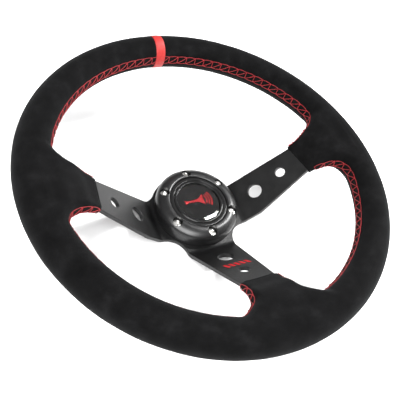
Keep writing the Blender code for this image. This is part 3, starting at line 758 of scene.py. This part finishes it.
def make_skin():
    mesh = remeshed_seed()
    points = np.zeros(len(mesh.vertices) * 3)
    mesh.vertices.foreach_get("co", points)
    points, normal = settle(points.reshape(-1, 3))
    relief = seam_relief(points) + hem_relief(points) + marker_relief(points) + hand_wrap(points)
    points = points + normal * relief[:, None]
    mesh.vertices.foreach_set("co", points.ravel())
    mesh.update()
    skin = finish_piece("suede_skin", mesh, SUEDE, "wheel", "suede", "suede_cover", "foam_grip")


def make_marker():
    """The red leather sleeve at the top of the rim, with rounded edges that tuck into the suede."""
    width = MARKER_HALF_WIDTH + 0.1 * MM
    half = ((0, 0.45), (0.4, 0.42), (0.84, 0.35), (0.94, 0.25), (1, 0.0), (1, -0.5))
    outer = [(-width * side, rise * MM) for side, rise in reversed(half[1:])]
    outer += [(width * side, rise * MM) for side, rise in half]
    inner = [(x, -MARKER_DEPTH) for x, _ in reversed(outer[1:-1])]
    around = np.radians(np.arange(0, 360, 3))
    loops = []
    for x, rise in outer + inner:
        radius = RIM_RADIUS + (GRIP_HALF_WIDTH + rise) * np.cos(around)
        z = RIM_HEIGHT + (GRIP_HALF_DEPTH + rise) * np.sin(around)
        loops.append(np.stack((np.full_like(around, x), np.sqrt(radius**2 - x**2), z), axis=-1))
    count = len(around)
    faces = []
    for loop in range(len(loops)):
        faces += band(loop * count, (loop + 1) % len(loops) * count, count)
    add_mesh("marker_sleeve", np.vstack(loops), faces, LEATHER, "wheel", "red_leather", "centre_marker")


# ---------------- lacing


def thread_routes(cells):
    """Each thread as cell numbers, half-bands across and heights over the skin, along its way."""
    share = np.linspace(0, 1, 15)
    arch = np.sin(math.pi * share)
    dive = np.clip(arch * 4, 0, 1)
    sunk, lying = -0.35 * MM, 0.75 * THREAD_RADIUS
    lift = sunk + (lying - sunk) * dive
    routes = []
    for cell in range(cells + 1):
        routes.append((np.full_like(share, cell), 2 * share - 1, lift + 0.2 * MM * arch))
    for cell in range(cells):
        along = cell + share
        for side in (-1, 1):
            routes.append((along, side * (1 + 0.16 * arch), lift))
        routes.append((along, 2 * share - 1, lift + 0.55 * MM * arch))
    return routes


def twisted_tube(path, normal, radius):
    """Rings of a two-ply twisted thread along a path."""
    sides = 2 * math.pi * np.arange(THREAD_SIDES) / THREAD_SIDES
    tangent = np.gradient(path, axis=0)
    tangent /= np.linalg.norm(tangent, axis=1)[:, None] + 1e-12
    up = normal - (normal * tangent).sum(axis=1)[:, None] * tangent
    up /= np.linalg.norm(up, axis=1)[:, None] + 1e-12
    sideways = np.cross(tangent, up)
    length = np.concatenate(([0], np.cumsum(np.linalg.norm(np.diff(path, axis=0), axis=1))))
    twist = 2 * math.pi * length / PLY_TWIST
    reach = radius * (1 + 0.16 * np.cos(2 * (sides[None, :] - twist[:, None])))
    rings = path[:, None] + reach[..., None] * (
        np.cos(sides)[None, :, None] * up[:, None] + np.sin(sides)[None, :, None] * sideways[:, None]
    )
    return rings


def tube_faces(start, stations, sides):
    """The faces of a tube of rings, closed at both ends, from its first vertex."""
    faces = [tuple(start + side for side in range(sides))[::-1]]
    last = start + (stations - 1) * sides
    faces.append(tuple(last + side for side in range(sides)))
    for station in range(stations - 1):
        here = start + station * sides
        faces += band(here, here + sides, sides)
    return faces


def make_lacing(seam):
    routes = thread_routes(seam.cells)
    cell, across, lift = (np.concatenate([route[i] for route in routes]) for i in range(3))
    points, normal = seam.places(cell, across, lift)
    stations = len(routes[0][0])
    verts, faces = [], []
    for index in range(len(routes)):
        rows = slice(index * stations, (index + 1) * stations)
        rings = twisted_tube(points[rows], normal[rows], THREAD_RADIUS)
        faces += tube_faces(len(verts) * stations * rings.shape[1], stations, rings.shape[1])
        verts.append(rings.reshape(-1, 3))
    add_mesh(f"lacing_{seam.name}", np.vstack(verts), faces, THREAD, "wheel", "red_leather")


# ---------------- spoke plate


def bend_curve():
    """Rows of (plan reach, height, slope) along the bent plate's middle."""
    tangent = BEND_RADIUS * math.tan(SLOPE / 2)
    far_reach = BEND_REACH + (TIP_HEIGHT - PLATE / 2) / math.tan(SLOPE)
    rows = []
    for reach, height, start, end in ((BEND_REACH, PLATE / 2, 0, SLOPE), (far_reach, TIP_HEIGHT, SLOPE, 0)):
        side = 1 if end > start else -1
        begin = np.array((reach, height)) - tangent * np.array((math.cos(start), math.sin(start)))
        centre = begin + side * BEND_RADIUS * np.array((-math.sin(start), math.cos(start)))
        for angle in np.linspace(start, end, BEND_STEPS + 1):
            point = centre - side * BEND_RADIUS * np.array((-math.sin(angle), math.cos(angle)))
            rows.append((*point, angle))
    rows.append((TIP_REACH + 20 * MM, TIP_HEIGHT, 0))
    return np.array(rows)


BEND = bend_curve()


def bent(spoke, reach, across, offset):
    """A point of the flat plate carried to the bent one; offset is from the plate's middle."""
    height, slope = (np.interp(reach, BEND[:, 0], BEND[:, i]) for i in (1, 2))
    height = np.where(reach < BEND[0, 0], PLATE / 2, height)
    return spoke.at(reach - offset * np.sin(slope), across, height + offset * np.cos(slope))


def half_outline():
    """The plate's plan outline on the +X side, from the top of the hub down to the lower spoke's tip."""
    top_edge, fillet = 20 * MM, 15 * MM
    fillet_height = top_edge + fillet
    fillet_reach = math.sqrt((HUB_RADIUS + fillet) ** 2 - fillet_height**2)
    hub_end = math.degrees(math.atan2(fillet_height, fillet_reach))
    points = arc((0, 0), (HUB_RADIUS, HUB_RADIUS), 90, hub_end, 24)
    points += arc((fillet_reach, fillet_height), (fillet, fillet), 180 + hub_end, 270, 14)[1:]
    side_edge = ((104, 21), (149, 21.5), (149, -11), (113, -11), (104, -13.7), (72, -23), (62.5, -25.6))
    points += [(x * MM, y * MM) for x, y in side_edge]
    inner_fillet = 20.5 * MM
    inner_centre = 25.5 * MM + inner_fillet
    points += arc((inner_centre, -inner_centre), (inner_fillet, inner_fillet), 90, 180, 20)
    points += [(x * MM, y * MM) for x, y in ((24.5, -52), (16.5, -113), (16.5, -149))]
    return points


def plate_splines():
    """The plate's closed outlines: its edge, its bore, its screw holes and its lightening holes."""
    half = half_outline()
    splines = [half + [(-x, y) for x, y in reversed(half[1:])]]
    splines.append(arc((0, 0), (HUB_BORE, HUB_BORE), 0, 356, 89))
    for x, y in screw_places():
        splines.append(arc((x, y), (SCREW_HOLE, SCREW_HOLE), 0, 345, 23))
    for spoke in SPOKES:
        for reach, across, radius in spoke.holes:
            ring = arc((reach * MM, across * MM), (radius * MM * math.cos(SLOPE), radius * MM), 0, 352.5, 47)
            splines.append([tuple(spoke.at(r, a, 0.0)[:2]) for r, a in ring])
    return splines


def screw_places():
    angles = [math.radians(90 - 360 * number / SCREW_COUNT) for number in range(SCREW_COUNT)]
    return [(SCREW_CIRCLE * math.cos(a), SCREW_CIRCLE * math.sin(a)) for a in angles]


def flat_plate():
    """The plate before bending, with rounded edges, as a bmesh around height 0."""
    curve = bpy.data.curves.new("plate", "CURVE")
    curve.dimensions = "2D"
    curve.fill_mode = "BOTH"
    curve.extrude = PLATE / 2 - PLATE_EDGE
    curve.bevel_depth = PLATE_EDGE
    curve.bevel_resolution = 2
    curve.offset = -PLATE_EDGE
    for points in plate_splines():
        spline = curve.splines.new("POLY")
        spline.points.add(len(points) - 1)
        for point, (x, y) in zip(spline.points, points):
            point.co = (x, y, 0, 1)
        spline.use_cyclic_u = True
    obj = bpy.data.objects.new("plate", curve)
    bpy.context.scene.collection.objects.link(obj)
    graph = bpy.context.evaluated_depsgraph_get()
    mesh = bpy.data.meshes.new_from_object(obj.evaluated_get(graph))
    bpy.data.objects.remove(obj)
    bm = bmesh.new()
    bm.from_mesh(mesh)
    bmesh.ops.remove_doubles(bm, verts=bm.verts, dist=1e-6)
    return bm


def make_plate():
    bm = flat_plate()
    for reach in BEND[:-1, 0]:
        for spoke in SPOKES:
            everything = bm.verts[:] + bm.edges[:] + bm.faces[:]
            line = spoke.outward * reach
            bmesh.ops.bisect_plane(bm, geom=everything, plane_co=line, plane_no=spoke.outward, dist=1e-6)
    for vert in bm.verts:
        for spoke in SPOKES:
            reach = Vector(spoke.outward).dot(vert.co)
            if reach > BEND[0, 0]:
                across = Vector(spoke.across).dot(vert.co)
                vert.co = bent(spoke, reach, across, vert.co.z)
                break
        else:
            vert.co.z += PLATE / 2
    mesh = bpy.data.meshes.new("spoke_plate")
    bmesh.ops.recalc_face_normals(bm, faces=bm.faces)
    bm.to_mesh(mesh)
    bm.free()
    plate = finish_piece("spoke_plate", mesh, PAINT, "wheel", "black_paint", "spoke_frame")
    weighted = plate.modifiers.new("even_normals", "WEIGHTED_NORMAL")
    weighted.keep_sharp = True


def make_spoke_mark():
    """Slanted red stripes, printed across the lower spoke between its holes."""
    verts, faces = [], []
    for number in range(MARK_STRIPES):
        middle = MARK_MIDDLE + (number - (MARK_STRIPES - 1) / 2) * MARK_PITCH
        for reach, across in ((78.8, -2.6), (78.8, 0.2), (83.4, 2.6), (83.4, -0.2)):
            for offset in (0.0, PLATE / 2 + 0.06 * MM):
                verts.append(bent(LOWER, reach * MM, middle + across * MM, offset))
        base = number * 8
        low, high = ([base + 2 * i + level for i in range(4)] for level in (0, 1))
        faces += [high, low[::-1]]
        faces += [(low[i], low[(i + 1) % 4], high[(i + 1) % 4], high[i]) for i in range(4)]
    add_mesh("spoke_mark", verts, faces, RED_PRINT, "wheel", "red_leather", smooth=False)


# ---------------- trim ring and screws


def make_trim_ring():
    insets = ((0, 13.8), (0.5, 15.6), (1.8, 17.6), (4.0, 19.4), (6.8, 20.7), (9.2, RING_TOP / MM))
    shoulder = through([(RING_RADIUS - inset * MM, height * MM) for inset, height in insets], 6)
    low = RING_LOW.z
    profile = [
        (30.8 * MM, low),
        (RING_RADIUS - 0.4 * MM, low),
        (RING_RADIUS - 0.1 * MM, low + 0.1 * MM),
        (RING_RADIUS, low + 0.4 * MM),
        *shoulder,
        (31.4 * MM, RING_TOP),
        (30.7 * MM, RING_TOP - 0.1 * MM),
        (30.1 * MM, RING_TOP - 0.4 * MM),
        (29.65 * MM, RING_TOP - 0.75 * MM),
        (RING_OPENING, RING_TOP - 1.2 * MM),
        (RING_OPENING, 17.4 * MM),
        (27.6 * MM, 17.4 * MM),
        (27.6 * MM, 12.3 * MM),
        (30.8 * MM, 12.3 * MM),
    ]
    ring = turned("trim_ring_turned", profile, RING_PAINT, "wheel", "black_ring", "trim_ring", closed=True)
    bm = bmesh.new()
    for x, y in screw_places():
        for radius, height in ((COUNTERBORE, HEAD_SEAT - 0.3 * MM), (SCREW_HOLE, 0.0)):
            middle = Matrix.Translation((x, y, height + CUTTER_LENGTH / 2))
            sizes = {"radius1": radius, "radius2": radius, "depth": CUTTER_LENGTH}
            bmesh.ops.create_cone(bm, cap_ends=True, segments=56, matrix=middle, **sizes)
    modifier = ring.modifiers.new("cut", "BOOLEAN")
    modifier.operation = "DIFFERENCE"
    modifier.use_self = True
    tool = cutter("counterbores", bm)
    modifier.object = tool
    bevel = ring.modifiers.new("edges", "BEVEL")
    bevel.width = 0.22 * MM
    bevel.segments = 2
    bevel.limit_method = "ANGLE"
    bevel.angle_limit = math.radians(40)
    weighted = ring.modifiers.new("even_normals", "WEIGHTED_NORMAL")
    weighted.keep_sharp = True
    apply_modifiers(ring)
    bpy.data.objects.remove(tool)


def knurl(turn, height):
    """Fine ridges around a screw head's side."""
    on_side = (height > HEAD_SEAT + 0.2 * MM) & (height < HEAD_TOP - 0.6 * MM)
    return 0.05 * MM * np.cos(36 * turn) * on_side


def make_screws():
    edge = 0.35 * MM
    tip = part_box("hub_screw_1")[0].z
    profile = [
        (0, tip),
        (SCREW_SHANK - edge, tip),
        (SCREW_SHANK, tip + edge),
        (SCREW_SHANK, HEAD_SEAT),
        (HEAD_RADIUS - 0.1 * MM, HEAD_SEAT),
        (HEAD_RADIUS, HEAD_SEAT + 0.25 * MM),
        (HEAD_RADIUS, HEAD_TOP - 0.65 * MM),
        (HEAD_RADIUS - 0.1 * MM, HEAD_TOP - 0.35 * MM),
        (HEAD_RADIUS - edge, HEAD_TOP - 0.1 * MM),
        (HEAD_RADIUS - 2 * edge, HEAD_TOP),
        (2.55 * MM, HEAD_TOP),
        (2.3 * MM, HEAD_TOP - 0.2 * MM),
        (0, HEAD_TOP - 0.2 * MM),
    ]
    for number, (x, y) in enumerate(screw_places(), 1):
        screw = turned(
            f"socket_screw_{number}", profile, SCREW_STEEL, "wheel", "screw_steel", f"hub_screw_{number}",
            centre=(x, y), ripple=knurl,
        )
        bm = bmesh.new()
        turn = Matrix.Translation((x, y, HEAD_TOP)) @ Matrix.Rotation(SCREW_TURN * number, 4, "Z")
        sizes = {"radius1": SOCKET_RADIUS, "radius2": SOCKET_RADIUS, "depth": 2 * SOCKET_DEPTH}
        bmesh.ops.create_cone(bm, cap_ends=True, segments=6, matrix=turn, **sizes)
        cut(screw, cutter(f"hex_key_{number}", bm))


# ---------------- horn button


def make_housing():
    """The fixed cup around the cap; its rounded flange shows inside the trim ring."""
    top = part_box("horn_housing")[1].z
    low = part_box("horn_housing")[0].z
    flange = 29.2 * MM
    throat = 25.4 * MM
    profile = [
        (0, low),
        (26.8 * MM, low),
        (27.3 * MM, low + 0.5 * MM),
        (27.3 * MM, 17.7 * MM),
        (flange, 17.7 * MM),
        *arc((flange - 0.7 * MM, top - 0.7 * MM), (0.7 * MM, 0.7 * MM), 0, 90, 5),
        *arc((throat + 0.5 * MM, top - 0.5 * MM), (0.5 * MM, 0.5 * MM), 90, 180, 5),
        (throat, 14.0 * MM),
        (26.3 * MM, 14.0 * MM),
        (26.3 * MM, low + 1.6 * MM),
        (0, low + 1.6 * MM),
    ]
    housing = turned("button_housing", profile, PLASTIC, "wheel", "black_plastic", "horn_housing")
    bm = bmesh.new()
    for reach in (19.5, -9.5):
        matrix = Matrix.Translation((reach * MM, 0, low)) @ Matrix.Diagonal((1.4 * MM, 6.9 * MM, 8 * MM, 1))
        bmesh.ops.create_cube(bm, size=1, matrix=matrix)
    cut(housing, cutter("terminal_slots", bm))


def make_cap():
    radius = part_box("horn_cap")[1].x
    cap_radius = 25.1 * MM
    recess = 22.4 * MM
    floor = 17.0 * MM
    underside = 15.4 * MM
    profile = [
        (0, underside - 1.2 * MM),
        (6 * MM, underside - 1.2 * MM),
        (6 * MM, underside),
        (17 * MM, underside),
        (17 * MM, 13.7 * MM),
        (21 * MM, 13.7 * MM),
        (21 * MM, underside),
        (23.3 * MM, underside),
        (23.3 * MM, 12.2 * MM),
        (radius, 12.2 * MM),
        (radius, 13.7 * MM),
        (cap_radius, 13.7 * MM),
        *arc((cap_radius - 0.9 * MM, CAP_TOP - 0.9 * MM), (0.9 * MM, 0.9 * MM), 0, 90, 6),
        *arc((recess + 0.35 * MM, CAP_TOP - 0.35 * MM), (0.35 * MM, 0.35 * MM), 90, 180, 4),
        (recess, floor),
        (0, floor),
    ]
    turned("button_cap", profile, PLASTIC, "horn_button", "black_plastic", "horn_cap")


def make_emblem():
    low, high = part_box("emblem_disc")
    edge = 0.12 * MM
    profile = [
        (0, low.z),
        (high.x, low.z),
        (high.x, high.z - edge),
        (high.x - edge, high.z),
        (0, high.z),
    ]
    turned("emblem_plate", profile, BLACK_PRINT, "horn_button", "emblem", "emblem_disc")


def make_dome():
    low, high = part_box("emblem_dome")
    crown = high.z - low.z - 0.3 * MM
    shares = np.linspace(1, 0, 28)
    profile = [(0, low.z), (high.x - 0.08 * MM, low.z)]
    profile += [(high.x * share, low.z + 0.3 * MM + crown * (1 - share**2.4)) for share in shares]
    turned("emblem_lens", profile, RESIN, "horn_button", "clear_resin", "emblem_dome")


def horn_outlines():
    """A bugle seen from the side, and three sound arcs in front of its bell."""
    upper = through(((-7.6, 0.75), (-3.0, 0.85), (0.2, 1.35), (2.6, 2.7), (4.4, 4.6)), 6)
    bugle = [tuple(p) for p in upper] + [(x, -y) for x, y in reversed(upper)]
    lip = [(-9.6, 1.5), (-8.9, 1.5), (-8.5, 0.9), (-7.6, 0.75)]
    mouthpiece = lip + [(x, -y) for x, y in reversed(lip)]
    waves = []
    for radius in (5.6, 7.5, 9.4):
        outside = arc((1.4, 0), (radius, radius), -36, 36, 14)
        inside = arc((1.4, 0), (radius - 0.95, radius - 0.95), 36, -36, 14)
        waves.append(outside + inside)
    return [bugle, mouthpiece, *waves]


def make_symbol():
    """The horn symbol, printed in red on the emblem under the dome."""
    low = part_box("emblem_disc")[1].z - 0.02 * MM
    bm = bmesh.new()
    for outline in horn_outlines():
        points = [(SYMBOL_SCALE * x, SYMBOL_SCALE * y + SYMBOL_RISE, low) for x, y in outline]
        face = bm.faces.new([bm.verts.new(point) for point in points])
        grown = bmesh.ops.extrude_face_region(bm, geom=[face])["geom"]
        top = [item for item in grown if isinstance(item, bmesh.types.BMVert)]
        bmesh.ops.translate(bm, verts=top, vec=(0, 0, 0.1 * MM))
    bmesh.ops.recalc_face_normals(bm, faces=bm.faces)
    mesh = bpy.data.meshes.new("horn_symbol")
    bm.to_mesh(mesh)
    bm.free()
    finish_piece("horn_symbol", mesh, RED_PRINT, "horn_button", "emblem", smooth=False)


def make_spring():
    """The return spring, as a copy of its CAD coil."""
    node = NODES["return_spring"]
    mesh = node.data.copy()
    mesh.transform(node.matrix_world)
    coil = finish_piece("return_coil", mesh, PLAIN_STEEL, "wheel", "spring_steel", "return_spring")
    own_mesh(coil)


def dress_hidden_nodes():
    """Materials for the CAD nodes that stay as they are."""
    looks = {
        "rim_hoop": PLAIN_STEEL,
        "retaining_ring": PLAIN_STEEL,
        "insulator_board": FIBRE_BOARD,
        "fixed_contact": BRASS,
        "moving_contact": BRASS,
        "contact_terminal": BRASS,
        "spring_terminal": BRASS,
    }
    for number in range(1, RIVET_COUNT + 1):
        looks[f"spoke_rivet_{number}"] = PLAIN_STEEL
    for name, material in looks.items():
        NODES[name].data.materials.clear()
        NODES[name].data.materials.append(material)


# ---------------- stage, lights and camera


def make_stage():
    """A wide pale floor just under the lowest piece."""
    material = Nodes("pale_floor", (0.9, 0.9, 0.9), 0.8, Specular_IOR_Level=0.2)
    haze = material.noise(0.4, detail=2)
    material.colour(material.ramp(haze, (0.2, (0.89, 0.89, 0.89)), (0.8, (0.92, 0.92, 0.92))))
    half = FLOOR_HALF_WIDTH
    height = CAD_LOW.z - FLOOR_GAP
    mesh = bpy.data.meshes.new("floor")
    corners = [(x * half, y * half, height) for x, y in ((-1, -1), (1, -1), (1, 1), (-1, 1))]
    mesh.from_pydata(corners, [], [(0, 1, 2, 3)])
    mesh.materials.append(material.material)
    floor = bpy.data.objects.new("floor", mesh)
    bpy.context.scene.collection.objects.link(floor)


def softbox(name, place, size, power):
    """A rectangular light that faces the wheel."""
    light = bpy.data.lights.new(name, "AREA")
    light.shape = "RECTANGLE"
    light.size, light.size_y = size
    light.energy = power
    lamp = bpy.data.objects.new(name, light)
    lamp.location = place
    lamp.rotation_euler = (Vector(LIGHT_TARGET) - Vector(place)).to_track_quat("-Z", "Y").to_euler()
    bpy.context.scene.collection.objects.link(lamp)


def make_lights():
    world = bpy.data.worlds.new("studio")
    world.use_nodes = True
    background = world.node_tree.nodes["Background"]
    background.inputs["Color"].default_value = (1, 1, 1, 1)
    background.inputs["Strength"].default_value = WORLD_LIGHT
    bpy.context.scene.world = world
    softbox("key_softbox", (-0.74, -0.76, 1.25), (1.3, 1.3), 64)
    softbox("rear_softbox", (0.9, 0.24, 1.0), (0.2, 0.85), 30)
    softbox("side_softbox", (1.15, -0.2, 0.42), (0.8, 0.5), 7)
    bpy.context.scene.view_settings.view_transform = "Standard"
    bpy.context.scene.view_settings.exposure = 0.0


def make_camera():
    data = bpy.data.cameras.new("camera")
    data.lens = CAMERA_LENS
    data.sensor_width = 36
    data.shift_x = -0.0125
    data.shift_y = -0.025
    data.clip_start = 0.02
    data.clip_end = 50
    camera = bpy.data.objects.new("camera", data)
    azimuth, elevation, roll = (math.radians(angle) for angle in CAMERA_TURN)
    level_aim = Vector((math.sin(azimuth), math.cos(azimuth), 0)) * math.cos(elevation)
    aim = level_aim + Vector((0, 0, math.sin(elevation)))
    level = aim.to_track_quat("-Z", "Y").to_matrix().to_4x4()
    camera.matrix_world = Matrix.Translation(CAMERA_PLACE) @ level @ Matrix.Rotation(roll, 4, "Z")
    bpy.context.scene.collection.objects.link(camera)
    bpy.context.scene.camera = camera


make_skin()
make_marker()
for seam in SEAMS:
    make_lacing(seam)
make_plate()
make_spoke_mark()
make_trim_ring()
make_screws()
make_housing()
make_cap()
make_emblem()
make_dome()
make_symbol()
make_spring()
dress_hidden_nodes()
make_stage()
make_lights()
make_camera()
